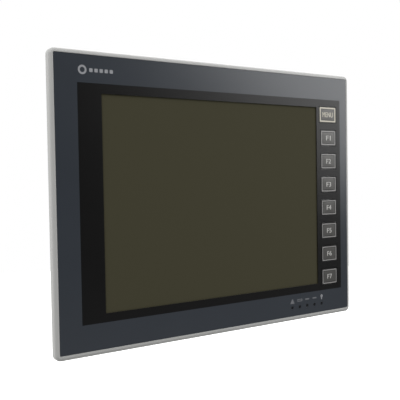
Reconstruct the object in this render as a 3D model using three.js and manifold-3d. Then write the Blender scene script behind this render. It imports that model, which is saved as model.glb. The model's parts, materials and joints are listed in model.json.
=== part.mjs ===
// Panel-mount operator terminal: a 10.4 inch touch screen with a column of eight film keys, in a moulded
// front bezel that seals against a cabinet door, and a stepped rear housing held in the cut-out by clamps.
//
// Millimetres. +X is to the right as the operator sees it, +Y points into the cabinet and +Z is up. The
// origin is the middle of the cabinet's cut-out, in the plane of the door's outer face: the bezel's
// sealing face lies at y = 0, the operator's side is -Y and the housing reaches back along +Y.

import * as THREE from "three";
import { mergeVertices } from "three/addons/utils/BufferGeometryUtils.js";
import Module from "manifold-3d";

const wasm = await Module();
wasm.setup();

// ---------------------------------------------------------------- driving dimensions

const SHEET = 0.1; // gap between faces that touch on the real object
const FIT = 0.3; // gap round a part that drops into a pocket

const BEZEL = { width: 297, height: 222, depth: 6, corner: 5, edge: 2.5, border: 3.2 };
const BEZEL_CHIN = 0.8; // the lower border is this much taller than the others
const OVERLAY = { thickness: 0.6, gap: 0.2, corner: 1.0 };
const WALL = { front: -5.2, back: -2.4 }; // the bezel's front wall, in y
const POCKET = { halfWidth: 139, halfHeight: 103.2, corner: 4 };
const SEAL = { inner: 1.7, width: 2.8, depth: 1.2, proud: 1.0 };

const SCREEN = { x: -0.8, z: -0.6, width: 215.6, height: 161.7 };
const TOUCH = { left: -116.5, right: 109.2, bottom: -86.5, top: 85.3, thickness: 1.9 };
const LCD = { width: 240, height: 184, x: -2, z: -0.6, front: 0.6, back: 11.4, wall: 0.8 };

const KEY = { x: 121.8, top: 73.8, pitch: 21.4, width: 17.9, height: 13.1, margin: 0.6 };
const MENU_KEY = { x: 121.2, width: 20.0, height: 13.5 };
const KEY_NAMES = ["menu", "f1", "f2", "f3", "f4", "f5", "f6", "f7"];
const KEY_TRAVEL = 0.5;
const DOME = { radius: 5, height: 0.6, foilBack: -1.6, foil: 0.3 };
const KEY_BOARD = { front: -1.5, left: 110.3, right: 133.6, bottom: -88, top: 86 };

const LAMP = { x: 75.2, z: -100, pitch: 9, count: 5, bore: 1.5 };

const CHASSIS = { width: 272, height: 197, front: 13, back: 14.2, post: 3 };
const CASE = { width: 283, height: 208, corner: 3, wall: 2.5, back: 18 };
const BOX = { left: -128, right: 128, bottom: -72, top: 94, corner: 4, back: 46.2 };

const SCREW = { x: 134, z: 97, shank: 1.5, head: 2.9, seat: 16, tip: -4, boss: 4 };
const BOARD = { left: -118, right: 118, bottom: -68.5, top: 62, front: 22, back: 23.6 };

const CPU = { x: 20, z: 22, thickness: 2.2, sink: 36, fins: 8 };

const CLAMP = { x: 85, slotWidth: 14, slotFront: 8.5, slotBack: 13.5, width: 12, screwZ: 109.2 };
const CLAMP_PAD = { front: 6.3, thickness: 2.2, radius: 3.2 }; // the pads stand 6.3 off the sealing face
const CLAMP_SCREW = { shank: 2, head: 3.5, headFront: 34, headBack: 37.4 }; // M4
const VENT = { count: 12, pitch: 8, halfWidth: 1.5 };

const PORT_Y = 32; // every cable socket in the housing's underside lies on this line
const SUPPLY = { x: 98, pitch: 5.08, ways: 3, drop: 12, screw: 5.6 };
const COM1 = { x: 58, shell: 16.3, flange: 30.8, pins: [5, 4] };
const COM2 = { x: 4, shell: 38.3, flange: 53.0, pins: [13, 12] };
const ETHERNET_X = -48;
const USB_X = -72;

const DIP = { x: 60, z: -56, ways: 4, pitch: 2.54, face: 42.6, lever: 1.4, travel: 1.2 };
const RESET = { x: 78, z: -56, radius: 1.9 };
const BATTERY = { x: -98, z: -52, radius: 10, thickness: 3.2, seat: 32 };
const DOOR = { width: 34, height: 36, thickness: 1.8, tongue: 0.9 };

// ---------------------------------------------------------------- solids

// A closed geometry as a manifold-3d solid, for booleans.
function solid(geometry) {
  const bare = geometry.index ? geometry.toNonIndexed() : geometry.clone();
  bare.deleteAttribute("normal");
  bare.deleteAttribute("uv");
  const merged = mergeVertices(bare, 1e-4);
  return new wasm.Manifold(
    new wasm.Mesh({
      numProp: 3,
      vertProperties: merged.attributes.position.array,
      triVerts: new Uint32Array(merged.index.array),
    }),
  );
}

// A manifold-3d solid as a three.js geometry.
function geometryOf(manifold) {
  const mesh = manifold.getMesh();
  const geometry = new THREE.BufferGeometry();
  geometry.setAttribute("position", new THREE.BufferAttribute(mesh.vertProperties, 3));
  geometry.setIndex(new THREE.BufferAttribute(mesh.triVerts, 1));
  return geometry;
}

function box(x0, x1, y0, y1, z0, z1) {
  const geometry = new THREE.BoxGeometry(x1 - x0, y1 - y0, z1 - z0);
  return solid(geometry.translate((x0 + x1) / 2, (y0 + y1) / 2, (z0 + z1) / 2));
}

// A cylinder along Y or Z through (x, z) or (x, y), from one end to the other.
function rodY(x, z, radius, y0, y1, sides = 24) {
  const geometry = new THREE.CylinderGeometry(radius, radius, y1 - y0, sides);
  return solid(geometry.translate(x, (y0 + y1) / 2, z));
}

function rodZ(x, y, radius, z0, z1, sides = 24) {
  const geometry = new THREE.CylinderGeometry(radius, radius, z1 - z0, sides);
  return solid(geometry.rotateX(Math.PI / 2).translate(x, y, (z0 + z1) / 2));
}

// A rectangle with round corners, from its edges.
function outline(left, right, bottom, top, corner) {
  const shape = new THREE.Shape();
  shape.moveTo(left + corner, bottom);
  shape.lineTo(right - corner, bottom);
  shape.absarc(right - corner, bottom + corner, corner, -Math.PI / 2, 0);
  shape.lineTo(right, top - corner);
  shape.absarc(right - corner, top - corner, corner, 0, Math.PI / 2);
  shape.lineTo(left + corner, top);
  shape.absarc(left + corner, top - corner, corner, Math.PI / 2, Math.PI);
  shape.lineTo(left, bottom + corner);
  shape.absarc(left + corner, bottom + corner, corner, Math.PI, Math.PI * 1.5);
  return shape;
}

const centred = (width, height, corner) =>
  outline(-width / 2, width / 2, -height / 2, height / 2, corner);

// An outline in X and Z, extruded from y0 to y1. edge rounds the end at y0, or the end at y1 if it's last.
function slab(shape, y0, y1, { steps = 4, edge = 0, last = false } = {}) {
  const depth = y1 - y0;
  const rounded = {
    bevelEnabled: edge > 0,
    bevelThickness: edge,
    bevelSize: edge,
    bevelOffset: -edge,
    bevelSegments: 3,
  };
  const geometry = new THREE.ExtrudeGeometry(shape, { depth, curveSegments: steps, ...rounded });
  geometry.rotateX(Math.PI / 2); // the extrusion now runs along -Y from y = 0
  geometry.translate(0, last ? y1 - edge : y1, 0);
  const whole = solid(geometry.translate(0, last ? 0 : edge, 0));
  if (!edge) return whole;
  const kept = box(-200, 200, y0, y1, -200, 200);
  return whole.intersect(kept);
}

const union = (parts) => parts.reduce((a, b) => a.add(b));
const cut = (body, tools) => tools.reduce((a, b) => a.subtract(b), body);

// ---------------------------------------------------------------- the assembly

const terminal = new THREE.Group();

const COLOURS = {
  shell: { color: 0xb9bab4, roughness: 0.5 },
  overlay: { color: 0x32363f, roughness: 0.35 },
  key: { color: 0x5b5b58, roughness: 0.4 },
  touch: { color: 0x3f3d30, roughness: 0.5 },
  rubber: { color: 0x1c1c1c, roughness: 0.9 },
  lens: { color: 0x26272b, roughness: 0.2 },
  lcd: { color: 0x17181a, roughness: 0.15 },
  steel: { color: 0xa9abac, roughness: 0.35, metalness: 1 },
  aluminium: { color: 0xb4b6b8, roughness: 0.4, metalness: 1 },
  board: { color: 0x1c5a34, roughness: 0.5 },
  black: { color: 0x1d1d1f, roughness: 0.5 },
  green: { color: 0x2f8f4a, roughness: 0.45 },
  white: { color: 0xe4e4de, roughness: 0.5 },
  red: { color: 0xa8241f, roughness: 0.45 },
};

function part(name, manifold, finish) {
  const material = new THREE.MeshStandardMaterial(COLOURS[finish]);
  const mesh = new THREE.Mesh(geometryOf(manifold), material);
  mesh.name = name;
  terminal.add(mesh);
}

// Runs make(x, z, number) at the four corners (+-x, +-z).
function corners(x, z, make) {
  const signs = [
    [1, 1],
    [-1, 1],
    [-1, -1],
    [1, -1],
  ];
  return signs.map(([sx, sz], i) => make(sx * x, sz * z, i + 1));
}

// ---------------------------------------------------------------- front: bezel, overlay, keys and lamps

const keys = KEY_NAMES.map((name, i) => {
  const size = name === "menu" ? MENU_KEY : KEY;
  return { name, x: size.x, z: KEY.top - i * KEY.pitch, width: size.width, height: size.height };
});

const lampXs = Array.from({ length: LAMP.count }, (_, i) => LAMP.x + i * LAMP.pitch);

const OVERLAY_FACE = WALL.front - SHEET - OVERLAY.thickness;

// The pad of a key, grown by a margin; its well in the bezel is the same outline grown further.
function keyOutline(key, grow) {
  const halfWidth = key.width / 2 + KEY.margin + grow;
  const halfHeight = key.height / 2 + KEY.margin + grow;
  return outline(key.x - halfWidth, key.x + halfWidth, key.z - halfHeight, key.z + halfHeight, 1);
}

const screenOutline = (grow) =>
  outline(
    SCREEN.x - SCREEN.width / 2 - grow,
    SCREEN.x + SCREEN.width / 2 + grow,
    SCREEN.z - SCREEN.height / 2 - grow,
    SCREEN.z + SCREEN.height / 2 + grow,
    0.5 + grow,
  );

function frontBezel() {
  const halfWidth = BEZEL.width / 2;
  const halfHeight = BEZEL.height / 2;
  const front = outline(
    -halfWidth,
    halfWidth,
    -halfHeight - BEZEL_CHIN,
    halfHeight,
    BEZEL.corner,
  );
  const body = slab(front, -BEZEL.depth, 0, { edge: BEZEL.edge, steps: 6 });
  const overlayWidth = BEZEL.width - 2 * BEZEL.border;
  const overlayHeight = BEZEL.height - 2 * BEZEL.border;
  const recess = slab(
    centred(overlayWidth, overlayHeight, OVERLAY.corner),
    -BEZEL.depth - 1,
    WALL.front,
  );
  const pocket = slab(
    centred(2 * POCKET.halfWidth, 2 * POCKET.halfHeight, POCKET.corner),
    WALL.back,
    1,
  );
  const groove = sealRing(SEAL.inner, SEAL.inner + SEAL.width, -SEAL.depth, 1);
  const touchSeat = slab(
    outline(TOUCH.left - FIT, TOUCH.right + FIT, TOUCH.bottom - FIT, TOUCH.top + FIT, 1),
    WALL.front - 1,
    WALL.front + TOUCH.thickness + 2 * SHEET,
  );
  const window = slab(screenOutline(0.8), -BEZEL.depth, 1);
  const wells = keys.map((key) => slab(keyOutline(key, FIT), -BEZEL.depth, 1, { steps: 2 }));
  const lamps = lampXs.map((x) => rodY(x, LAMP.z, LAMP.bore, -BEZEL.depth, 1, 16));
  const hollowed = cut(body, [recess, pocket, groove, touchSeat, window, ...wells, ...lamps]);
  const bosses = corners(SCREW.x, SCREW.z, (x, z) => rodY(x, z, SCREW.boss, WALL.back - 0.5, 0, 20));
  const pilots = corners(SCREW.x, SCREW.z, (x, z) =>
    rodY(x, z, SCREW.shank + SHEET, SCREW.tip - 0.2, 1, 16),
  );
  return cut(union([hollowed, ...bosses]), pilots);
}

// A ring that follows the housing's outline on the bezel's sealing face, this far out from it.
function sealRing(inner, outer, y0, y1) {
  const ring = (out) =>
    centred(CASE.width + 2 * out, CASE.height + 2 * out, CASE.corner + out);
  return slab(ring(outer), y0, y1).subtract(slab(ring(inner), y0 - 1, y1 + 1));
}

function panelGasket() {
  const slack = 0.2;
  const { inner, width, depth, proud } = SEAL;
  return sealRing(inner + slack, inner + width - slack, SHEET - depth, proud);
}

function frontOverlay() {
  const margin = 2 * (BEZEL.border + OVERLAY.gap);
  const width = BEZEL.width - margin;
  const height = BEZEL.height - margin;
  const y0 = OVERLAY_FACE;
  const y1 = y0 + OVERLAY.thickness;
  const sheet = slab(centred(width, height, OVERLAY.corner), y0, y1);
  const holes = [
    slab(screenOutline(0), y0 - 1, y1 + 1, { steps: 2 }),
    ...keys.map((key) => slab(keyOutline(key, FIT), y0 - 1, y1 + 1, { steps: 2 })),
    ...lampXs.map((x) => rodY(x, LAMP.z, LAMP.bore, y0 - 1, y1 + 1, 16)),
  ];
  return cut(sheet, holes);
}

// A key: its pad in the overlay, a plinth in the bezel's well and a nub over the dome's crown.
function keyPad(key) {
  const padBack = OVERLAY_FACE + 1.2;
  const plinthBack = -3.3;
  const nubBack = DOME.foilBack - DOME.height - SHEET - KEY_TRAVEL;
  const pad = slab(keyOutline(key, 0), OVERLAY_FACE, padBack, { steps: 3 });
  const plinth = box(key.x - 6, key.x + 6, padBack - SHEET, plinthBack, key.z - 4, key.z + 4);
  const nub = rodY(key.x, key.z, 2, plinthBack - SHEET, nubBack, 16);
  return union([pad, plinth, nub]);
}

// One foil with a snap dome under each key.
function domeSheet() {
  const { radius, height, foilBack, foil } = DOME;
  const sheet = box(111.5, 132, foilBack - foil, foilBack, -84, 82);
  const profile = [
    [0, 0],
    [1, 0],
    [0.84, 0.5],
    [0.52, 0.87],
    [0, 1],
  ].map(([r, h]) => new THREE.Vector2(r * radius, h * height));
  const domes = keys.map((key) => {
    const dome = new THREE.LatheGeometry(profile, 12).rotateX(Math.PI); // the crown points at the key
    return solid(dome.translate(key.x, foilBack - 0.05, key.z));
  });
  return union([sheet, ...domes]);
}

// The board under the keys, with a foot that carries the status lamps.
function keypadBoard() {
  const { front, left, right, bottom, top } = KEY_BOARD;
  const column = box(left, right, front, -SHEET, bottom, top);
  const foot = box(LAMP.x - 7, right, front, -SHEET, LAMP.z - 2.8, bottom + SHEET);
  const clearance = rodY(SCREW.x, -SCREW.z, SCREW.boss + 0.6, -5, 1, 16);
  const diodes = lampXs.map((x) =>
    box(x - 1, x + 1, front - 0.1, front + 0.1, LAMP.z - 0.8, LAMP.z + 0.8),
  );
  return cut(union([column, foot, ...diodes]), [clearance]);
}

// Five clear studs on one strip, behind the lamp holes.
function lightPipe() {
  const front = WALL.back + SHEET;
  const last = lampXs[LAMP.count - 1];
  const strip = box(lampXs[0] - 3, last + 3, front, front + 0.6, LAMP.z - 2.4, LAMP.z + 2.4);
  const studs = lampXs.map((x) => rodY(x, LAMP.z, LAMP.bore - 0.2, OVERLAY_FACE + 0.15, front + 0.3, 16));
  return union([strip, ...studs]);
}

// ---------------------------------------------------------------- screen stack

function touchScreen() {
  const shape = outline(TOUCH.left, TOUCH.right, TOUCH.bottom, TOUCH.top, 0.8);
  return slab(shape, WALL.front + SHEET, WALL.front + SHEET + TOUCH.thickness, { steps: 2 });
}

function touchSeal() {
  const y0 = WALL.back + SHEET;
  const y1 = LCD.front - SHEET;
  const ring = slab(screenOutline(2.4), y0, y1, { steps: 2 });
  const strip = ring.subtract(slab(screenOutline(0.9), y0 - 1, y1 + 1, { steps: 2 }));
  return strip;
}

const lcdEdges = {
  left: LCD.x - LCD.width / 2,
  right: LCD.x + LCD.width / 2,
  bottom: LCD.z - LCD.height / 2,
  top: LCD.z + LCD.height / 2,
};

function lcdFrame() {
  const { left, right, bottom, top } = lcdEdges;
  const { front, back, wall } = LCD;
  const can = box(left, right, front, back, bottom, top);
  const inside = box(left + wall, right - wall, front + wall, back + 1, bottom + wall, top - wall);
  const window = slab(screenOutline(0.2), front - 1, back, { steps: 2 });
  return cut(can, [inside, window]);
}

function lcdLayer(y0, y1) {
  const { left, right, bottom, top } = lcdEdges;
  const inset = LCD.wall + FIT;
  return box(left + inset, right - inset, y0, y1, bottom + inset, top - inset);
}

// An angle that ties one short side of the display to the chassis plate.
function lcdBracket(side) {
  const gauge = 1;
  const back = CHASSIS.front - 2 * SHEET;
  const halfLength = 70;
  const x0 = side > 0 ? lcdEdges.right + SHEET : lcdEdges.left - SHEET - gauge;
  const toe0 = side > 0 ? x0 : x0 - 11;
  const web = box(x0, x0 + gauge, LCD.front + 1, back, -halfLength, halfLength);
  const toe = box(toe0, toe0 + 12, back - gauge, back, -halfLength, halfLength);
  const gaps = [-35, 35].map((z) =>
    box(x0 - 1, x0 + gauge + 1, LCD.front, back - gauge - SHEET, z - 18, z + 18),
  );
  return cut(union([web, toe]), gaps);
}

// ---------------------------------------------------------------- chassis and boards

function chassisPlate() {
  const { width, height, front, back, post } = CHASSIS;
  const plate = slab(centred(width, height, 3), front, back, { steps: 2 });
  const notches = corners(SCREW.x, SCREW.z, (x, z) =>
    box(x - 6, x + 6, front - 1, back + 1, z - 6, z + 6),
  );
  const mainPosts = [-110, 0, 110].flatMap((x) => [-60, 54].map((z) => [x, z]));
  const inverterPosts = [-108, -6].map((x) => [x, 83]);
  const posts = [...mainPosts, ...inverterPosts].map(([x, z]) =>
    rodY(x, z, post, back - 0.2, BOARD.front - SHEET, 12),
  );
  const slots = [-60, -20, 20, 60].map((x) =>
    slab(outline(x - 15, x + 15, 70, 76, 2.9), front - 1, back + 1, { steps: 2 }),
  );
  return union([cut(plate, [...notches, ...slots]), ...posts]);
}

// The processor board. Its larger parts are soldered down, so they are one piece with it.
function mainBoard() {
  const { left, right, bottom, top, front, back } = BOARD;
  const sheet = box(left, right, front, back, bottom, top);
  const chip = (x, z, w, h, t) =>
    box(x - w / 2, x + w / 2, back - 0.1, back + t, z - h / 2, z + h / 2);
  const chips = [
    chip(CPU.x, CPU.z, 28, 28, CPU.thickness),
    chip(62, 30, 20, 14, 1.6),
    chip(62, 8, 20, 14, 1.6),
    chip(-24, 34, 14, 20, 1.6),
    chip(-24, 6, 14, 20, 1.6),
    chip(-70, 30, 16, 16, 1.4),
    chip(98, 34, 16, 22, 9),
  ];
  const capacitors = [-4, 8].map((z) => rodY(98, z, 4, back - 0.1, back + 12, 14));
  return union([sheet, ...chips, ...capacitors]);
}

function cpuHeatsink() {
  const { x, z, thickness, sink, fins } = CPU;
  const foot = BOARD.back + thickness + SHEET;
  const left = x - sink / 2;
  const blade = 1.2;
  const step = (sink - blade) / (fins - 1);
  const base = box(left, left + sink, foot, foot + 2.5, z - sink / 2, z + sink / 2);
  const blades = Array.from({ length: fins }, (_, i) =>
    box(left + i * step, left + i * step + blade, foot + 2, foot + 11, z - sink / 2, z + sink / 2),
  );
  return union([base, ...blades]);
}

function inverterBoard() {
  const sheet = box(-112, -2, BOARD.front, BOARD.back, 66, 88);
  const face = BOARD.back - 0.1;
  const transformer = box(-66, -46, face, face + 7, 69, 85);
  const sockets = [-104, -20].map((x) => box(x - 5, x + 5, face, face + 4, 70, 80));
  return union([sheet, transformer, ...sockets]);
}

// ---------------------------------------------------------------- rear housing

// A recess of the battery door, open at the housing's lower edge so that the door can slide out.
const doorTop = BOX.bottom + DOOR.height;

function rearHousing() {
  const flat = slab(centred(CASE.width, CASE.height, CASE.corner), SHEET, CASE.back, {
    edge: 1.5,
    last: true,
  });
  const { left, right, bottom, top, corner, back } = BOX;
  const boxOutline = (inset) =>
    outline(left + inset, right - inset, bottom + inset, top - inset, corner - inset);
  const deep = slab(boxOutline(0), CASE.back - 4, back, { edge: 2.5, last: true });
  const wall = CASE.wall;
  const flatOutline = centred(CASE.width - 2 * wall, CASE.height - 2 * wall, 1);
  const flatInside = slab(flatOutline, -1, CASE.back - wall, { steps: 2 });
  const deepInside = slab(boxOutline(wall), CASE.back - 5, back - wall, { steps: 2 });
  const shell = cut(union([flat, deep]), [flatInside, deepInside]);
  const bosses = corners(SCREW.x, SCREW.z, (x, z) => rodY(x, z, SCREW.boss, SHEET, CASE.back - 1, 20));
  const screwHoles = corners(SCREW.x, SCREW.z, (x, z) =>
    union([
      rodY(x, z, SCREW.shank + 0.2, -1, CASE.back + 1, 16),
      rodY(x, z, SCREW.head + 0.4, SCREW.seat, CASE.back + 1, 20),
    ]),
  );
  const ledges = corners(132, 60, (x, z) => rodY(x, z, 3, CHASSIS.back + SHEET, CASE.back - 1, 16));
  return cut(union([shell, ...bosses, ...ledges]), [
    ...screwHoles,
    ...ventSlots(),
    ...clampSlots(),
    ...portHoles(),
    ...rearHoles(),
  ]);
}

// Rows of round-ended slots: two in the back and one in the top.
function ventSlots() {
  const { count, pitch, halfWidth } = VENT;
  const xs = Array.from({ length: count }, (_, i) => (i - (count - 1) / 2) * pitch);
  const slot = (x, z0, z1) => outline(x - halfWidth, x + halfWidth, z0, z1, halfWidth - 0.05);
  const back = (z0, z1) =>
    xs.map((x) => slab(slot(x, z0, z1), BOX.back - 4, BOX.back + 1, { steps: 2 }));
  const top = xs.map((x) => box(x - halfWidth, x + halfWidth, 24, 40, BOX.top - 4, BOX.top + 1));
  return [...back(60, 84), ...back(-28, -4), ...top];
}

// The two slots in the top wall and the two in the bottom take the clamps; those in the ends are spare.
function clampSlots() {
  const { x, slotFront, slotBack } = CLAMP;
  const halfSlot = CLAMP.slotWidth / 2;
  const level = corners(x, CASE.height / 2, (cx, cz) =>
    box(cx - halfSlot, cx + halfSlot, slotFront, slotBack, cz - 4, cz + 4),
  );
  const upright = corners(CASE.width / 2, 50, (cx, cz) =>
    box(cx - 4, cx + 4, slotFront, slotBack, cz - halfSlot, cz + halfSlot),
  );
  return [...level, ...upright];
}

// Cut-outs for the cable sockets in the underside.
function portHoles() {
  const z0 = BOX.bottom - 1;
  const z1 = BOX.bottom + CASE.wall + 1;
  const hole = (x, halfWidth, y0, y1) => box(x - halfWidth, x + halfWidth, y0, y1, z0, z1);
  return [
    hole(SUPPLY.x, supplyHalf + 0.4, BOARD.back - 0.2, PORT_Y + 4.7),
    hole(COM1.x, COM1.shell / 2 + 1.2, PORT_Y - 5.2, PORT_Y + 5.2),
    hole(COM2.x, COM2.shell / 2 + 1.2, PORT_Y - 5.2, PORT_Y + 5.2),
    hole(ETHERNET_X, 8.3, BOARD.back - 0.2, PORT_Y + 6.9),
    hole(USB_X, 7.5, BOARD.back - 0.2, PORT_Y + 3.9),
  ];
}

// Openings in the back: the switch bank, the reset button, and the battery bay with its door's recess.
function rearHoles() {
  const y0 = BOX.back - CASE.wall - 1;
  const y1 = BOX.back + 1;
  const bank = box(DIP.x - 6.2, DIP.x + 6.2, y0, y1, DIP.z - 3.6, DIP.z + 3.6);
  const button = rodY(RESET.x, RESET.z, RESET.radius + 0.3, y0, y1, 16);
  const { x, z, radius } = BATTERY;
  const halfBay = radius + 2;
  const bay = box(x - halfBay, x + halfBay, y0, y1, z - halfBay, z + halfBay);
  const halfDoor = DOOR.width / 2 + FIT;
  const halfTrack = halfDoor + DOOR.tongue + SHEET;
  const floor = BOX.back - DOOR.thickness - SHEET;
  const lower = BOX.bottom - 1;
  const upper = doorTop + FIT;
  const recess = box(x - halfDoor, x + halfDoor, floor, y1, lower, upper);
  const track = box(x - halfTrack, x + halfTrack, BOX.back - 1.3, BOX.back - 0.5, lower, upper);
  return [bank, button, bay, recess, track];
}

function batteryDoor() {
  const { x } = BATTERY;
  const { back, bottom } = BOX;
  const half = DOOR.width / 2;
  const wide = half + DOOR.tongue;
  const panel = box(x - half, x + half, back - DOOR.thickness, back, bottom + FIT, doorTop);
  const tongues = box(x - wide, x + wide, back - 1.2, back - 0.6, bottom + 2, doorTop);
  const ribs = [0, 1, 2, 3].map((i) => {
    const z = bottom + 4 + i * 2.4;
    return box(x - 7, x + 7, back - 0.5, back + 0.6, z, z + 1);
  });
  return union([panel, tongues, ...ribs]);
}

function batteryHolder() {
  const { x, z, radius, seat } = BATTERY;
  const block = rodY(x, z, radius + 2, BOARD.back + SHEET, seat + 4, 24);
  const cup = rodY(x, z, radius + FIT, seat, seat + 5, 24);
  const notch = box(x - 4, x + 4, seat, seat + 5, z + 5, z + 16);
  return cut(block, [cup, notch]);
}

function coinCell() {
  const { x, z, radius, thickness, seat } = BATTERY;
  return rodY(x, z, radius, seat + SHEET, seat + SHEET + thickness, 24);
}

// ---------------------------------------------------------------- switches on the back

// Way 1 is at the left as the back is seen, so at the highest x.
const dipXs = Array.from(
  { length: DIP.ways },
  (_, i) => DIP.x - (i - (DIP.ways - 1) / 2) * DIP.pitch,
);
const dipReach = (DIP.lever + DIP.travel) / 2;

function dipBody() {
  const { face, z } = DIP;
  const body = box(DIP.x - 5.7, DIP.x + 5.7, BOARD.back + SHEET, face, z - 3.1, z + 3.1);
  const halfSlot = dipReach + FIT;
  const slots = dipXs.map((x) =>
    box(x - 0.75, x + 0.75, face - 1.4, face + 1, z - halfSlot, z + halfSlot),
  );
  return cut(body, slots);
}

// A lever at the lower end of its slot, which is the off side.
function dipLever(x) {
  const { face, z, lever } = DIP;
  return box(x - 0.6, x + 0.6, face - 1.3, face + 0.8, z - dipReach, z - dipReach + lever);
}

function resetButton() {
  const cap = rodY(RESET.x, RESET.z, RESET.radius, BOX.back - 3.2, BOX.back - 0.6, 20);
  const stem = rodY(RESET.x, RESET.z, 1, BOARD.back + 1.2, BOX.back - 3.1, 12);
  return union([cap, stem]);
}

// ---------------------------------------------------------------- cable sockets

// The D outline of a serial shell: wide side towards the back, corners drawn in by the 10 degree flanks.
function dOutline(halfWidth, halfDepth) {
  const lean = halfDepth * 2 * Math.tan(THREE.MathUtils.degToRad(10));
  const shape = new THREE.Shape();
  shape.moveTo(-halfWidth + lean, -halfDepth);
  shape.lineTo(halfWidth - lean, -halfDepth);
  shape.lineTo(halfWidth, halfDepth);
  shape.lineTo(-halfWidth, halfDepth);
  shape.closePath();
  return shape;
}

// A D-shaped serial socket: flange under the housing's wall, shell and contact holes facing down.
function serialPort(port) {
  const { x, pins } = port;
  const face = BOX.bottom;
  const halfFlange = port.flange / 2;
  const halfShell = port.shell / 2;
  const flange = box(x - halfFlange, x + halfFlange, PORT_Y - 6.2, PORT_Y + 6.2, face - 1, face - SHEET);
  const depth = 6.5;
  const shell = new THREE.ExtrudeGeometry(dOutline(halfShell, 3.95), { depth, bevelEnabled: false });
  shell.translate(x, PORT_Y, face - depth);
  const body = box(x - halfShell, x + halfShell, PORT_Y - 4.2, PORT_Y + 4.2, face - 0.5, face + 9);
  const leg = box(x - halfShell, x + halfShell, BOARD.back + SHEET, PORT_Y - 4, face + 4, face + 9);
  const contacts = pins.flatMap((count, row) =>
    Array.from({ length: count }, (_, i) => {
      const pinX = x + (i - (count - 1) / 2) * 2.77;
      const pinY = PORT_Y + (row ? -1.42 : 1.42);
      return rodZ(pinX, pinY, 0.6, face - depth - 1, face - 2, 6);
    }),
  );
  const locks = [-1, 1].map((side) =>
    rodZ(x + side * (halfFlange - 2.9), PORT_Y, 1.4, face - 2, face + 0.5, 10),
  );
  return cut(union([flange, solid(shell), body, leg]), [...contacts, ...locks]);
}

// A network socket: its mouth faces down, with the latch's notch on the side nearer the door.
function ethernetPort() {
  const x = ETHERNET_X;
  const face = BOX.bottom - 0.6;
  const body = box(x - 8, x + 8, BOARD.back + SHEET, PORT_Y + 6.6, face, face + 19.6);
  const mouth = box(x - 5.9, x + 5.9, PORT_Y - 3.4, PORT_Y + 3.6, face - 1, face + 12.6);
  const latch = box(x - 3, x + 3, PORT_Y - 5.4, PORT_Y - 3.3, face - 1, face + 8.6);
  return cut(body, [mouth, latch]);
}

function usbPort() {
  const x = USB_X;
  const face = BOX.bottom - 0.6;
  const body = box(x - 7.2, x + 7.2, BOARD.back + SHEET, PORT_Y + 3.6, face, face + 15.6);
  const mouth = box(x - 6.3, x + 6.3, PORT_Y - 2.6, PORT_Y + 2.6, face - 1, face + 9.6);
  const tongue = box(x - 5.6, x + 5.6, PORT_Y - 2, PORT_Y - 0.1, face + 1.2, face + 10.1);
  return union([cut(body, [mouth]), tongue]);
}

// ---------------------------------------------------------------- supply terminal

const supplyHalf = (SUPPLY.ways * SUPPLY.pitch) / 2;
const supplyBottom = BOX.bottom - SUPPLY.drop;
const wayXs = Array.from({ length: SUPPLY.ways }, (_, i) => SUPPLY.x + (i - 1) * SUPPLY.pitch);

// A screw terminal: each way has a wire's mouth underneath and a screw well that faces back.
function supplyTerminal() {
  const left = SUPPLY.x - supplyHalf;
  const right = SUPPLY.x + supplyHalf;
  const block = box(left, right, PORT_Y - 5.4, PORT_Y + 6.6, supplyBottom, BOX.bottom - SHEET);
  const riser = box(left, right, BOARD.back + SHEET, PORT_Y + 4.3, BOX.bottom - 1, BOX.bottom + 8);
  const mouths = wayXs.map((x) =>
    box(x - 1.7, x + 1.7, PORT_Y - 3.6, PORT_Y + 0.4, supplyBottom - 1, supplyBottom + 7),
  );
  const wells = wayXs.map((x) =>
    rodY(x, supplyBottom + SUPPLY.screw, 2.0, PORT_Y + 2.6, PORT_Y + 8, 12),
  );
  return cut(union([block, riser]), [...mouths, ...wells]);
}

function supplyScrew(x) {
  const z = supplyBottom + SUPPLY.screw;
  const head = rodY(x, z, 1.6, PORT_Y + 2.8, PORT_Y + 5.6, 16);
  const slot = box(x - 2, x + 2, PORT_Y + 5, PORT_Y + 6, z - 0.25, z + 0.25);
  return head.subtract(slot);
}

// ---------------------------------------------------------------- fasteners

// A pan-head cross-recess screw that pulls the housing to the bezel.
function housingScrew(x, z) {
  const { seat, shank, head, tip } = SCREW;
  const profile = [
    [0, tip],
    [shank, tip + 0.4],
    [shank, seat + SHEET],
    [head, seat + SHEET],
    [head, seat + 0.7],
    [2.6, seat + 1.4],
    [1.7, seat + 1.9],
    [0, seat + 2],
  ].map(([r, y]) => new THREE.Vector2(r, y));
  const body = solid(new THREE.LatheGeometry(profile, 16));
  const arm = (w, h) => box(-w, w, seat + 1.1, seat + 3, -h, h);
  return cut(body, [arm(1.6, 0.35), arm(0.35, 1.6)]).translate(x, 0, z);
}

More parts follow.
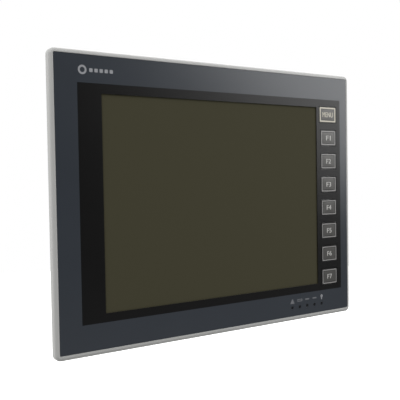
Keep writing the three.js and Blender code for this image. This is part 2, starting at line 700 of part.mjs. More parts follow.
// A clamp hooks into a slot of the housing, and its screw drives a pad against the door's inner face.
// Built for a slot in the top wall; flip turns it over for the bottom wall.
function clampParts(flip) {
  const top = CASE.height / 2;
  const half = CLAMP.width / 2;
  const { screwZ, slotBack } = CLAMP;
  const front = slotBack - 2.3;
  const back = 22;
  const neck = box(-half, half, front, slotBack - SHEET, top - 4.6, top + 1);
  const hook = box(-half, half, front, slotBack + 1.8, top - 4.6, top - 2.9);
  const arm = box(-half, half, front, back, top + FIT, top + 2.4);
  const post = box(-half, half, back - 4, back, top + FIT, screwZ + 4);
  const tapped = rodY(0, screwZ, CLAMP_SCREW.shank + 0.15, 10, back + 1, 16);
  const bracket = cut(union([neck, hook, arm, post]), [tapped]);

  const padFront = CLAMP_PAD.front;
  const padBack = padFront + CLAMP_PAD.thickness;
  const disc = rodY(0, screwZ, CLAMP_PAD.radius, padFront, padBack, 20);
  const pad = disc.subtract(rodY(0, screwZ, 1.7, padFront + 1, padBack + 1, 16));

  const { shank, head, headFront, headBack } = CLAMP_SCREW;
  const stem = rodY(0, screwZ, shank, padBack + 0.8, headFront, 16);
  const tip = rodY(0, screwZ, 1.4, padFront + 1.2, padBack + 0.9, 16);
  const knob = rodY(0, screwZ, head, headFront, headBack, 20);
  const slot = box(-4, 4, headBack - 1.2, headBack + 1, screwZ - 0.5, screwZ + 0.5);
  const screw = cut(union([stem, tip, knob]), [slot]);

  return [bracket, screw, pad].map((piece) => (flip ? piece.rotate([0, 180, 0]) : piece));
}

// ---------------------------------------------------------------- build

part("front_bezel", frontBezel(), "shell");
part("front_overlay", frontOverlay(), "overlay");
part("panel_gasket", panelGasket(), "rubber");
keys.forEach((key) => part(`key_${key.name}`, keyPad(key), "key"));
part("key_dome_sheet", domeSheet(), "steel");
part("keypad_board", keypadBoard(), "board");
part("led_light_pipe", lightPipe(), "lens");

part("touch_screen", touchScreen(), "touch");
part("touch_seal", touchSeal(), "rubber");
part("lcd_frame", lcdFrame(), "steel");
part("lcd_cell", lcdLayer(LCD.front + 0.9, LCD.front + 2.9), "lcd");
part("lcd_backlight", lcdLayer(LCD.front + 3, LCD.back), "white");
part("lcd_bracket_left", lcdBracket(-1), "steel");
part("lcd_bracket_right", lcdBracket(1), "steel");

part("chassis_plate", chassisPlate(), "steel");
part("main_board", mainBoard(), "board");
part("cpu_heatsink", cpuHeatsink(), "aluminium");
part("inverter_board", inverterBoard(), "board");
part("battery_holder", batteryHolder(), "black");
part("coin_cell", coinCell(), "steel");

part("rear_housing", rearHousing(), "shell");
part("battery_door", batteryDoor(), "shell");
part("dip_switch_body", dipBody(), "red");
dipXs.forEach((x, i) => part(`dip_lever_${i + 1}`, dipLever(x), "white"));
part("reset_button", resetButton(), "black");

part("com1_port", serialPort(COM1), "steel");
part("com2_port", serialPort(COM2), "steel");
part("ethernet_port", ethernetPort(), "steel");
part("usb_port", usbPort(), "steel");
part("supply_terminal", supplyTerminal(), "green");
wayXs.forEach((x, i) => part(`supply_screw_${i + 1}`, supplyScrew(x), "steel"));

corners(SCREW.x, SCREW.z, (x, z, n) => part(`housing_screw_${n}`, housingScrew(x, z), "steel"));

corners(CLAMP.x, 1, (x, side, n) => {
  const [bracket, screw, pad] = clampParts(side < 0).map((piece) => piece.translate(x, 0, 0));
  part(`clamp_bracket_${n}`, bracket, "steel");
  part(`clamp_screw_${n}`, screw, "steel");
  part(`clamp_pad_${n}`, pad, "black");
});

export default terminal;
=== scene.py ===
import json
import math
import random

import bmesh
import bpy
from mathutils import Matrix, Quaternion, Vector

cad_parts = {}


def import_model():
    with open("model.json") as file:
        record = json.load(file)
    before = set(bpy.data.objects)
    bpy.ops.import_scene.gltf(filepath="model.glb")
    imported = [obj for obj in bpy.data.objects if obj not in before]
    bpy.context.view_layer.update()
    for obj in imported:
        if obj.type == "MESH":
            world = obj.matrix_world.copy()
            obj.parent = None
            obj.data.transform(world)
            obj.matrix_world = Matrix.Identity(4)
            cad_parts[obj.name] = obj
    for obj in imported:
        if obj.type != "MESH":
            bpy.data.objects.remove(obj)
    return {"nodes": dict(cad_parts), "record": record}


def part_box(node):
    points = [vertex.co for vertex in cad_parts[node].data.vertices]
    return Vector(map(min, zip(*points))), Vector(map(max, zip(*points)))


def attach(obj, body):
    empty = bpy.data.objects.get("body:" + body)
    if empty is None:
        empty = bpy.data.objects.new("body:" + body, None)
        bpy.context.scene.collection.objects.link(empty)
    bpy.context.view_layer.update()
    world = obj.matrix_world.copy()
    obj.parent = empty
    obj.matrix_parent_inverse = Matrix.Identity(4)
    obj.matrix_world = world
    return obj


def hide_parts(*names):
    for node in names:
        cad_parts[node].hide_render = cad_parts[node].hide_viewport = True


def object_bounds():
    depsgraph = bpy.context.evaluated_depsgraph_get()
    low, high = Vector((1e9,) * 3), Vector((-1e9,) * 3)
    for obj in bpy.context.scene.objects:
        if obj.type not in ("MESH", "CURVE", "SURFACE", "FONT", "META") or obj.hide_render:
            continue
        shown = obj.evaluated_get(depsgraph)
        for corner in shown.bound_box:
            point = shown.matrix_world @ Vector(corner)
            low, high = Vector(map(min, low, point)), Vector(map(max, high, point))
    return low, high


# Looks of the panel-mount operator terminal: finishes for every CAD node, the printed and moulded detail
# that the CAD leaves out, a soft studio and the camera. Metres; +X right, +Y into the cabinet, +Z up.

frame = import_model()
nodes = frame["nodes"]
cad_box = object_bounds()

MM = 0.001
random.seed(7)

# -------- driving values

CAMERA = {
    "place": (-0.3266, -0.4516, 0.0178),
    "aim": (0.5627, 0.8260, -0.0335),
    "roll": -0.93,  # degrees
    "lens": 60.2,
    "sensor_width": 36,
}
FLOOR_DROP = 0.34  # the terminal hangs this far above the floor, as its cabinet would hold it

# The film is black inside this rectangle and blue-grey outside it.
PRINT = {"left": -127.6 * MM, "right": 136.7 * MM, "bottom": -88.0 * MM, "top": 87.5 * MM}

BOARD_THICKNESS = 1.6 * MM
PACKAGE_FOOT = 0.05 * MM  # what stands further than this off a board's face is a package

SMOOTH_BELOW = math.radians(40)  # facets that meet at a smaller angle are one round surface
WELD = 0.002 * MM
ROUND_EDGE = 0.3 * MM

# Turns from a flat drawing, X right and Y up, to the side that it lies on.
TO_FRONT = Matrix.Rotation(math.pi / 2, 4, "X")
TO_BACK = Matrix.Rotation(math.pi, 4, "Z") @ TO_FRONT
TO_UNDERSIDE = Matrix.Rotation(math.pi, 4, "X")

# -------- shader graphs


class Finish:
    """A procedural material, with short calls for the shader nodes that the finishes share."""

    def __init__(self, name, colour, roughness, metallic=0.0, specular=0.5):
        self.material = bpy.data.materials.new(name)
        self.material.use_nodes = True
        self.tree = self.material.node_tree
        self.shader = self.tree.nodes["Principled BSDF"]
        self.colour = colour
        self.set("Base Color", (*colour, 1))
        self.set("Roughness", roughness)
        self.set("Metallic", metallic)
        self.set("Specular IOR Level", specular)
        self.place = self.node("ShaderNodeTexCoord").outputs["Object"]
        self.material.diffuse_color = (*colour, 1)

    def set(self, socket, value):
        """A number or colour on the shader's own socket, or a link from another node's output."""
        if isinstance(value, bpy.types.NodeSocket):
            self.tree.links.new(value, self.shader.inputs[socket])
        else:
            self.shader.inputs[socket].default_value = value

    def node(self, kind, inputs=(), **settings):
        made = self.tree.nodes.new(kind)
        for key, value in settings.items():
            setattr(made, key, value)
        for key, value in dict(inputs).items():
            if isinstance(value, bpy.types.NodeSocket):
                self.tree.links.new(value, made.inputs[key])
            else:
                made.inputs[key].default_value = value
        return made

    def stretched(self, along):
        """The place with each axis scaled, so that a pattern runs long in the directions below 1."""
        return self.node("ShaderNodeMapping", {"Vector": self.place, "Scale": along}).outputs["Vector"]

    def noise(self, size, detail=2.0, place=None):
        """Cloudy noise from 0 to 1 with features of this size."""
        inputs = {"Vector": place or self.place, "Scale": 1 / size, "Detail": detail}
        return self.node("ShaderNodeTexNoise", inputs).outputs["Fac"]

    def cells(self, size, feature="F1", distance="EUCLIDEAN"):
        inputs = {"Vector": self.place, "Scale": 1 / size}
        made = self.node("ShaderNodeTexVoronoi", inputs, feature=feature, distance=distance)
        return made.outputs["Distance"]

    def axis(self, name):
        return self.node("ShaderNodeSeparateXYZ", {"Vector": self.place}).outputs[name]

    def math(self, operation, *values):
        return self.node("ShaderNodeMath", dict(enumerate(values)), operation=operation).outputs["Value"]

    def span(self, value, low, high, from_low=0.0, from_high=1.0):
        """The value carried from one range to another, low to high."""
        inputs = {"Value": value, "From Min": from_low, "From Max": from_high}
        inputs.update({"To Min": low, "To Max": high})
        return self.node("ShaderNodeMapRange", inputs).outputs["Result"]

    def between(self, value, low, high):
        """1 where the value lies between two limits."""
        half = (high - low) / 2
        away = self.math("ABSOLUTE", self.math("SUBTRACT", value, low + half))
        return self.math("LESS_THAN", away, half)

    def mix(self, share, first, second):
        """From the first colour to the second by this share, on the node's sockets for colours."""
        made = self.node("ShaderNodeMix", data_type="RGBA")
        for socket, value in ((0, share), (6, first), (7, second)):
            if isinstance(value, bpy.types.NodeSocket):
                self.tree.links.new(value, made.inputs[socket])
            else:
                made.inputs[socket].default_value = value if socket == 0 else (*value, 1)
        return made.outputs[2]

    def mottle(self, size, amount, colour=None):
        """The colour, cloudy by this share of its brightness."""
        colour = colour or self.colour
        dark = tuple(c * (1 - amount) for c in colour)
        light = tuple(c * (1 + amount) for c in colour)
        return self.mix(self.noise(size, detail=3), dark, light)

    def relief(self, *layers, edge=ROUND_EDGE):
        """Bumps, each a height output and its depth in metres, over softened edges."""
        normal = self.node("ShaderNodeBevel", {"Radius": edge}, samples=4).outputs["Normal"]
        for height, depth in layers:
            inputs = {"Height": height, "Distance": depth, "Strength": 1.0, "Normal": normal}
            normal = self.node("ShaderNodeBump", inputs).outputs["Normal"]
        self.set("Normal", normal)

    def edges(self, radius):
        """1 along convex and concave edges, falling to 0 on flat faces."""
        soft = self.node("ShaderNodeBevel", {"Radius": radius}, samples=4).outputs["Normal"]
        true = self.node("ShaderNodeNewGeometry").outputs["True Normal"]
        inputs = {0: soft, 1: true}
        cosine = self.node("ShaderNodeVectorMath", inputs, operation="DOT_PRODUCT").outputs["Value"]
        return self.span(cosine, low=1.0, high=0.0, from_low=0.75, from_high=0.99)


def shell_plastic():
    """Light grey moulded housing plastic with a fine spark-eroded grain, its colour lighter along convex
    and concave edges: a painted highlight, and wear on the convex ones.
    """
    grey, polish_and_highlight, dark = (0.40, 0.401, 0.391), (0.46, 0.461, 0.45), (0.3, 0.3, 0.28)
    f = Finish("shell_plastic", grey, 0.5, specular=0.4)
    cloud = f.mottle(40 * MM, amount=0.025)
    # colour lighter along convex and concave edges: painted highlight, with wear on the convex edges
    wear_and_highlight = 0.35
    worn_and_highlit = f.mix(f.math("MULTIPLY", f.edges(radius=0.5 * MM), wear_and_highlight), grey, polish_and_highlight)
    rare, faint = 0.73, 0.12
    speck = f.math("GREATER_THAN", f.noise(0.9 * MM, detail=1), rare)
    base = f.mix(0.5, cloud, worn_and_highlit)
    f.set("Base Color", f.mix(f.math("MULTIPLY", speck, faint), base, dark))
    f.set("Roughness", f.span(f.noise(6 * MM, detail=4), low=0.42, high=0.58))
    grain = (f.noise(0.35 * MM, detail=3), 0.035 * MM)
    waves = (f.noise(5 * MM, detail=1), 0.02 * MM)
    f.relief(grain, waves, edge=0.4 * MM)
    return f.material


def overlay_film():
    """Printed polyester film with a fine grain: blue-grey, and black round the screen and the keys."""
    blue, black = (0.0296, 0.0353, 0.0441), (0.0055, 0.0053, 0.0054)
    f = Finish("overlay_film", blue, 0.29)
    across = f.between(f.axis("X"), PRINT["left"], PRINT["right"])
    upright = f.between(f.axis("Z"), PRINT["bottom"], PRINT["top"])
    inside = f.math("MULTIPLY", across, upright)
    field = f.mottle(12 * MM, amount=0.08, colour=black)
    f.set("Base Color", f.mix(inside, f.mottle(30 * MM, amount=0.05), field))
    black_metallic = 0.45
    f.set("Metallic", f.math("MULTIPLY", inside, black_metallic))
    haze = f.span(f.noise(30 * MM, detail=2), low=-0.012, high=0.012)
    f.set("Roughness", f.math("ADD", f.span(inside, low=0.28, high=0.33), haze))
    grain = (f.noise(0.16 * MM, detail=2), 0.005 * MM)
    waves = (f.noise(40 * MM, detail=1), 0.02 * MM)
    f.relief(grain, waves, edge=0.1 * MM)
    return f.material


def touch_surface():
    """Anti-glare film over the unlit display: an even, matt olive grey with a faint sparkle."""
    olive, dark, light = (0.0535, 0.0500, 0.0300), (0.0515, 0.0481, 0.0286), (0.0553, 0.0519, 0.0314)
    yellower = (0.0553, 0.0519, 0.0324)
    f = Finish("touch_surface", olive, 0.72, specular=0.05)
    sparkle = f.mix(f.noise(0.25 * MM, detail=1), dark, light)
    cloud = f.span(f.noise(60 * MM, detail=1), low=0.0, high=0.3)
    f.set("Base Color", f.mix(cloud, sparkle, yellower))
    f.set("Roughness", f.span(f.noise(20 * MM, detail=3), low=0.68, high=0.78))
    f.relief((f.noise(0.2 * MM, detail=1), 0.004 * MM), edge=0.1 * MM)
    return f.material


def zinc_steel(name, edge):
    """Zinc-plated steel: bluish silver with a faint yellow bloom and cloudy dullness."""
    f = Finish(name, (0.44, 0.45, 0.46), 0.34, metallic=1.0)
    bluish, yellowish, bright = (0.43, 0.445, 0.47), (0.48, 0.465, 0.42), (0.62, 0.63, 0.65)
    bloom = f.mix(f.span(f.noise(9 * MM, detail=3), low=0.0, high=0.8), bluish, yellowish)
    # colour lighter along convex and concave edges: a painted highlight, and wear where the edges are
    # convex
    wear_and_highlight = 0.4
    f.set("Base Color", f.mix(f.math("MULTIPLY", f.edges(radius=0.3 * MM), wear_and_highlight), bloom, bright))
    drawn = f.noise(0.8 * MM, detail=3, place=f.stretched((1, 0.08, 1)))
    dull = f.span(f.noise(3 * MM, detail=4), low=0.24, high=0.4)
    f.set("Roughness", f.math("ADD", dull, f.span(drawn, low=-0.04, high=0.06)))
    f.relief((drawn, 0.006 * MM), (f.noise(0.5 * MM, detail=2), 0.008 * MM), edge=edge)
    return f.material


def aluminium():
    """Extruded aluminium: drawn lines along the fins."""
    f = Finish("aluminium", (0.62, 0.63, 0.64), 0.38, metallic=1.0)
    drawn = f.noise(0.5 * MM, detail=3, place=f.stretched((1, 1, 0.03)))
    f.set("Base Color", f.mottle(8 * MM, amount=0.04))
    f.set("Roughness", f.span(drawn, low=0.3, high=0.48))
    f.relief((drawn, 0.01 * MM))
    return f.material


def circuit_board():
    """Green solder mask over copper tracks on the board's own faces, matt black on the packages on it."""
    mask, track = (0.012, 0.085, 0.03), (0.03, 0.16, 0.055)
    package, pad = (0.018, 0.018, 0.02), (0.42, 0.4, 0.34)
    f = Finish("circuit_board", mask, 0.35)
    track_width, via_radius = 0.05, 0.16  # as shares of a cell
    lines = f.math("LESS_THAN", f.cells(5 * MM, "DISTANCE_TO_EDGE", "MANHATTAN"), track_width)
    vias = f.math("LESS_THAN", f.cells(2.4 * MM), via_radius)
    tracks = f.mix(lines, f.mottle(20 * MM, amount=0.1), track)
    board = f.mix(vias, tracks, pad)
    low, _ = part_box("inverter_board")
    standing = f.math("GREATER_THAN", f.axis("Y"), low.y + BOARD_THICKNESS + PACKAGE_FOOT)
    f.set("Base Color", f.mix(standing, board, f.mottle(2 * MM, amount=0.2, colour=package)))
    f.set("Roughness", f.span(standing, low=0.3, high=0.55))
    f.relief((lines, 0.03 * MM), (f.noise(0.4 * MM, detail=2), 0.01 * MM))
    return f.material


def cloudy(name, colour, roughness, mottling, dulling, grain=None, edge=ROUND_EDGE, **shader):
    """A finish whose colour and roughness are cloudy, and which may have one grain.

    mottling: size and amount of the colour's clouds. dulling: size and detail of the roughness's clouds,
    and its lowest and highest value. grain: size, detail and depth of the bumps.
    """
    f = Finish(name, colour, roughness, **shader)
    f.set("Base Color", f.mottle(*mottling))
    size, detail, low, high = dulling
    f.set("Roughness", f.span(f.noise(size, detail), low, high))
    if grain:
        size, detail, depth = grain
        f.relief((f.noise(size, detail), depth), edge=edge)
    return f.material


def moulded(name, colour, roughness, mottling=0.08):
    """A plain moulded plastic with its own grain."""
    dulling = (2 * MM, 3, roughness - 0.06, roughness + 0.08)
    return cloudy(name, colour, roughness, (5 * MM, mottling), dulling, (0.3 * MM, 2, 0.012 * MM))


def printed(name, colour, roughness, metallic=0.0):
    """Screen-print ink: its cover varies a little, with the mesh of the screen in its surface."""
    f = Finish(name, colour, roughness, metallic)
    f.set("Base Color", f.mottle(1.5 * MM, amount=0.07))
    f.set("Roughness", f.span(f.noise(1 * MM, detail=3), roughness - 0.05, roughness + 0.08))
    f.relief((f.cells(0.18 * MM), 0.004 * MM), edge=0.08 * MM)
    return f.material


def rating_label():
    """Blank silver polyester label with a fine brushed look."""
    f = Finish("rating_label", (0.52, 0.53, 0.54), 0.4, metallic=0.35)
    dark, light = (0.47, 0.48, 0.49), (0.58, 0.59, 0.6)
    drawn = f.noise(0.4 * MM, detail=3, place=f.stretched((0.04, 1, 1)))
    f.set("Base Color", f.mix(drawn, dark, light))
    f.set("Roughness", f.span(drawn, low=0.34, high=0.5))
    f.relief((drawn, 0.004 * MM), edge=0.1 * MM)
    return f.material


def studio_floor():
    f = Finish("studio_floor", (0.86, 0.86, 0.85), 0.8, specular=0.1)
    f.set("Base Color", f.mottle(400 * MM, amount=0.01))
    f.set("Emission Color", (1, 1, 1, 1))
    f.set("Emission Strength", 0.45)
    return f.material


SHELL = shell_plastic()
FILM = overlay_film()
STEEL = zinc_steel("zinc_steel", edge=0.25 * MM)
THREAD_STEEL = zinc_steel("thread_steel", edge=0.04 * MM)
NICKEL = cloudy(
    "nickel",
    (0.68, 0.66, 0.62),
    0.24,
    mottling=(3 * MM, 0.05),
    dulling=(2.5 * MM, 4, 0.18, 0.34),
    grain=(0.4 * MM, 2, 0.006 * MM),
    metallic=1.0,
)
GOLD = cloudy(
    "gold",
    (0.82, 0.58, 0.22),
    0.25,
    mottling=(1 * MM, 0.08),
    dulling=(0.7 * MM, 3, 0.2, 0.36),
    metallic=1.0,
)
BOARD = circuit_board()
BLACK = moulded("black_nylon", (0.02, 0.02, 0.022), 0.48)
GREEN = moulded("terminal_green", (0.03, 0.27, 0.075), 0.42)
WHITE = moulded("white_plastic", (0.72, 0.72, 0.68), 0.4, mottling=0.03)
RED = moulded("switch_red", (0.4, 0.022, 0.016), 0.3)
SILVER_INK = printed("silver_ink", (0.25, 0.245, 0.24), 0.42, metallic=0.25)
LEGEND_INK = printed("legend_ink", (0.47, 0.465, 0.445), 0.45)
CREAM_INK = printed("cream_ink", (0.52, 0.49, 0.41), 0.45)
KEY_GREY = printed("key_grey", (0.074, 0.072, 0.068), 0.34, metallic=0.2)
ICON_GREY = printed("icon_grey", (0.13, 0.135, 0.145), 0.5)
ICON_LIGHT = printed("icon_light", (0.26, 0.265, 0.28), 0.5)
LABEL = rating_label()
LABEL_INK = printed("label_ink", (0.12, 0.12, 0.125), 0.5)

RUBBER = cloudy(
    "rubber",
    (0.018, 0.018, 0.018),
    0.85,
    mottling=(4 * MM, 0.25),
    dulling=(2 * MM, 3, 0.75, 0.95),
    grain=(0.3 * MM, 4, 0.05 * MM),
    specular=0.3,
)
SMOKED_LENS = cloudy(
    "smoked_lens",
    (0.005, 0.0055, 0.007),
    0.3,
    mottling=(1 * MM, 0.2),
    dulling=(0.8 * MM, 2, 0.24, 0.36),
    grain=(1.2 * MM, 1, 0.02 * MM),
    edge=0.15 * MM,
    specular=0.35,
)
DISPLAY_GLASS = cloudy(
    "display_glass",
    (0.012, 0.012, 0.015),
    0.12,
    mottling=(50 * MM, 0.2),
    dulling=(20 * MM, 3, 0.08, 0.18),
)

SLOT_FINISH = {
    "shell": SHELL,
    "overlay": FILM,
    "key": FILM,
    "touch": touch_surface(),
    "rubber": RUBBER,
    "lens": SMOKED_LENS,
    "lcd": DISPLAY_GLASS,
    "steel": STEEL,
    "connector": NICKEL,
    "aluminium": aluminium(),
    "board": BOARD,
    "black": BLACK,
    "green": GREEN,
    "white": WHITE,
    "red": RED,
}

# -------- CAD nodes


def round_shading():
    """Geometry nodes that join a CAD node's facets, and shade round those that meet at a small angle."""
    group = bpy.data.node_groups.new("round_shading", "GeometryNodeTree")
    group.interface.new_socket("Geometry", in_out="INPUT", socket_type="NodeSocketGeometry")
    group.interface.new_socket("Geometry", in_out="OUTPUT", socket_type="NodeSocketGeometry")
    start = group.nodes.new("NodeGroupInput")
    plain = group.nodes.new("GeometryNodeRemoveAttribute")
    plain.inputs["Name"].default_value = "custom_normal"
    weld = group.nodes.new("GeometryNodeMergeByDistance")
    weld.inputs["Distance"].default_value = WELD
    faces = group.nodes.new("GeometryNodeSetShadeSmooth")
    faces.inputs["Shade Smooth"].default_value = True
    corner = group.nodes.new("GeometryNodeInputMeshEdgeAngle")
    sharp = group.nodes.new("FunctionNodeCompare")
    sharp.operation = "GREATER_THAN"
    sharp.inputs[1].default_value = SMOOTH_BELOW
    edges = group.nodes.new("GeometryNodeSetShadeSmooth")
    edges.domain = "EDGE"
    edges.inputs["Shade Smooth"].default_value = False
    end = group.nodes.new("NodeGroupOutput")
    join = group.links.new
    join(start.outputs[0], plain.inputs["Geometry"])
    join(plain.outputs["Geometry"], weld.inputs["Geometry"])
    join(weld.outputs["Geometry"], faces.inputs["Geometry"])
    join(faces.outputs["Geometry"], edges.inputs["Geometry"])
    join(corner.outputs["Unsigned Angle"], sharp.inputs[0])
    join(sharp.outputs["Result"], edges.inputs["Selection"])
    join(edges.outputs["Geometry"], end.inputs[0])
    return group


def finish_nodes():
    """Gives each CAD node its slot's finish and round shading. Shapes and places stay the CAD's."""
    shading = round_shading()
    slots = {part["node"]: part["material_slot"] for part in frame["record"]["subparts"]}
    for name, node in nodes.items():
        node.material_slots[0].material = SLOT_FINISH[slots[name]]
        node.modifiers.new("round_shading", "NODES").node_group = shading
        node.modifiers.new("even_normals", "WEIGHTED_NORMAL").keep_sharp = True


# -------- drawing and building


def rectangle(width, height, corner=0.0, steps=5):
    """Points of a rectangle with round corners, about its middle."""
    if not corner:
        return [(sx * width / 2, sy * height / 2) for sx, sy in ((-1, -1), (1, -1), (1, 1), (-1, 1))]
    points = []
    for quarter, (sx, sy) in enumerate(((1, 1), (-1, 1), (-1, -1), (1, -1))):
        for i in range(steps + 1):
            angle = math.pi / 2 * (quarter + i / steps)
            across = sx * (width / 2 - corner) + corner * math.cos(angle)
            up = sy * (height / 2 - corner) + corner * math.sin(angle)
            points.append((across, up))
    return points


def circle(radius, sides=24, x=0.0, y=0.0):
    turn = 2 * math.pi / sides
    return [(x + radius * math.cos(i * turn), y + radius * math.sin(i * turn)) for i in range(sides)]


def mesh_of(data, name):
    """The mesh that a curve or text makes, without its object."""
    holder = bpy.data.objects.new(name, data)
    bpy.context.scene.collection.objects.link(holder)
    graph = bpy.context.evaluated_depsgraph_get()
    mesh = bpy.data.meshes.new_from_object(holder.evaluated_get(graph))
    bpy.data.objects.remove(holder)
    return mesh


def relief(loops, thickness, edge=0.0, sink=0.0):
    """A flat piece with the first loop as its outline and a hole for each other loop.

    It reaches from z -sink to thickness - sink. Its upper and lower edges are rounded by edge.
    """
    data = bpy.data.curves.new("relief", "CURVE")
    data.dimensions = "2D"
    data.fill_mode = "BOTH"
    for i, loop in enumerate(loops):
        ordered = loop if i == 0 else loop[::-1]
        spline = data.splines.new("POLY")
        spline.points.add(len(ordered) - 1)
        for point, (x, y) in zip(spline.points, ordered):
            point.co = (x, y, 0, 1)
        spline.use_cyclic_u = True
    data.extrude = thickness / 2 - edge
    data.bevel_depth = edge
    data.bevel_resolution = 1
    data.offset = -edge
    mesh = mesh_of(data, "relief")
    mesh.transform(Matrix.Translation((0, 0, thickness / 2 - sink)))
    return mesh


def lettering(text, width, height, thickness):
    """Generic letters as a thin relief, scaled to this width and height about their middle."""
    data = bpy.data.curves.new("lettering", "FONT")
    data.body = text
    data.size = height
    data.extrude = thickness / 2
    mesh = mesh_of(data, "lettering")
    xs = [v.co.x for v in mesh.vertices]
    ys = [v.co.y for v in mesh.vertices]
    middle = Matrix.Translation((-(min(xs) + max(xs)) / 2, -(min(ys) + max(ys)) / 2, 0))
    scale = Matrix.Diagonal((width / (max(xs) - min(xs)), height / (max(ys) - min(ys)), 1, 1))
    mesh.transform(scale @ middle)
    return mesh


def closed(shape, name):
    """The mesh of a closed shape, its faces turned outwards."""
    bmesh.ops.recalc_face_normals(shape, faces=shape.faces)
    mesh = bpy.data.meshes.new(name)
    shape.to_mesh(mesh)
    shape.free()
    return mesh


def box_mesh(low, high, edge):
    """A block between two corners, its edges rounded."""
    shape = bmesh.new()
    bmesh.ops.create_cube(shape, size=1)
    low, high = Vector(low), Vector(high)
    for v in shape.verts:
        v.co = (low + high) / 2 + Vector([c * s for c, s in zip(v.co, high - low)])
    bmesh.ops.bevel(shape, geom=shape.edges[:], offset=edge, segments=2, profile=0.5, affect="EDGES")
    return closed(shape, "block")


def turned(profile, sides=32):
    """A body of revolution about Z from (radius, z) points that start and end on the axis."""
    shape = bmesh.new()
    rings = []
    for radius, z in profile:
        if radius == 0:
            rings.append([shape.verts.new((0, 0, z))])
        else:
            rings.append([shape.verts.new((x, y, z)) for x, y in circle(radius, sides)])
    for a, b in zip(rings, rings[1:]):
        for i in range(sides):
            corners = [a[i % len(a)], a[(i + 1) % len(a)], b[(i + 1) % len(b)], b[i % len(b)]]
            shape.faces.new(list(dict.fromkeys(corners)))
    return closed(shape, "turned")


def piece(name, body, parts):
    """One Blender-only piece, from (mesh, finish, matrix) parts in the shared frame, riding on a body."""
    shape = bmesh.new()
    finishes = []
    for mesh, finish, matrix in parts:
        if finish not in finishes:
            finishes.append(finish)
        mesh.transform(matrix)
        before = len(shape.faces)
        shape.from_mesh(mesh)
        shape.faces.ensure_lookup_table()
        for face in shape.faces[before:]:
            face.material_index = finishes.index(finish)
            face.smooth = True
        bpy.data.meshes.remove(mesh)
    joined = bpy.data.meshes.new(name)
    shape.to_mesh(joined)
    shape.free()
    for finish in finishes:
        joined.materials.append(finish)
    joined.set_sharp_from_angle(angle=SMOOTH_BELOW)
    made = bpy.data.objects.new(name, joined)
    bpy.context.scene.collection.objects.link(made)
    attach(made, body)
    return made


def at(x, y, z, turn=TO_FRONT):
    """Places a drawing on the front, or on the side that the turn names."""
    return Matrix.Translation((x, y, z)) @ turn


# -------- front: keys, signs and emblem

KEY_NAMES = ["menu", "f1", "f2", "f3", "f4", "f5", "f6", "f7"]
KEY_MARGIN = 0.6 * MM  # from the edge of a key's pad to its outline
KEY_GAP = 0.45 * MM  # from the outline to the raised middle
KEY_CORNERS = (0.4 * MM, 0.2 * MM)  # outside and inside the outline
KEY_OUTLINE = {"thickness": 0.16 * MM, "edge": 0.05 * MM, "sink": 0.04 * MM}
KEY_STYLES = {  # width of the outline, width and height of the legend, and their inks
    "menu": {"line": 1.4 * MM, "letters": (13.0 * MM, 4.5 * MM), "inks": (CREAM_INK, CREAM_INK)},
    "function": {"line": 1.0 * MM, "letters": (5.7 * MM, 4.3 * MM), "inks": (SILVER_INK, LEGEND_INK)},
}
FACE_RIM = 0.03 * MM  # a raised middle's border above the pad
FACE_RISE = 0.11 * MM  # its top above its border
FACE_SINK = 0.04 * MM  # its foot below the pad's face
LEGEND_THICKNESS = 0.1 * MM
BOLD = ((-0.11 * MM, 0.15 * MM), (0.11 * MM, 0.14 * MM))  # a legend's two prints: sideways, off the pad


def key_face(width, height, steps=10):
    """The embossed middle of a key: a low cushion on a rim that stands proud of the pad."""
    shape = bmesh.new()
    grid = []
    for j in range(steps + 1):
        row = []
        for i in range(steps + 1):
            u, v = 2 * i / steps - 1, 2 * j / steps - 1
            up = FACE_RIM + FACE_RISE * (1 - u**4) * (1 - v**4)
            row.append(shape.verts.new((u * width / 2, v * height / 2, up)))
        grid.append(row)
    for low, high in zip(grid, grid[1:]):
        for i in range(steps):
            shape.faces.new((low[i], low[i + 1], high[i + 1], high[i]))
    left, right = [row[0] for row in grid], [row[-1] for row in grid]
    border = grid[0][:-1] + right[:-1] + grid[-1][:0:-1] + left[:0:-1]
    feet = [shape.verts.new((v.co.x, v.co.y, -FACE_SINK)) for v in border]
    for i in range(len(feet)):
        shape.faces.new((feet[i - 1], feet[i], border[i], border[i - 1]))
    shape.faces.new(feet)
    return closed(shape, "key_face")


def key_prints():
    """Outline, raised grey middle and legend on each key."""
    for name in KEY_NAMES:
        style = KEY_STYLES["menu" if name == "menu" else "function"]
        outline_ink, legend_ink = style["inks"]
        low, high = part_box(f"key_{name}")
        middle = (low + high) / 2
        width = high.x - low.x - 2 * KEY_MARGIN
        height = high.z - low.z - 2 * KEY_MARGIN
        inner_width = width - 2 * style["line"]
        inner_height = height - 2 * style["line"]
        outer, inner = KEY_CORNERS
        loops = [rectangle(width, height, outer), rectangle(inner_width, inner_height, inner)]
        face = key_face(inner_width - 2 * KEY_GAP, inner_height - 2 * KEY_GAP)
        place = at(middle.x, low.y, middle.z)
        parts = [(relief(loops, **KEY_OUTLINE), outline_ink, place), (face, KEY_GREY, place)]
        for shift, rise in BOLD:
            legend = lettering(name.upper(), *style["letters"], LEGEND_THICKNESS)
            parts.append((legend, legend_ink, at(middle.x + shift, low.y - rise, middle.z)))
        piece(f"print_{name}", f"key_{name}", parts)


LAMP_PITCH = 9 * MM
LAMP_MARGIN = 3 * MM  # from the light pipe's left end to its first lamp
SIGN_RISE = 5.7 * MM  # from a lamp up to the signs' middle line
SIGN_INK = {"thickness": 0.06 * MM, "sink": 0.03 * MM}
SIGN_PART_STEP = 2.1 * MM  # from a sign's upper part down to its lower part


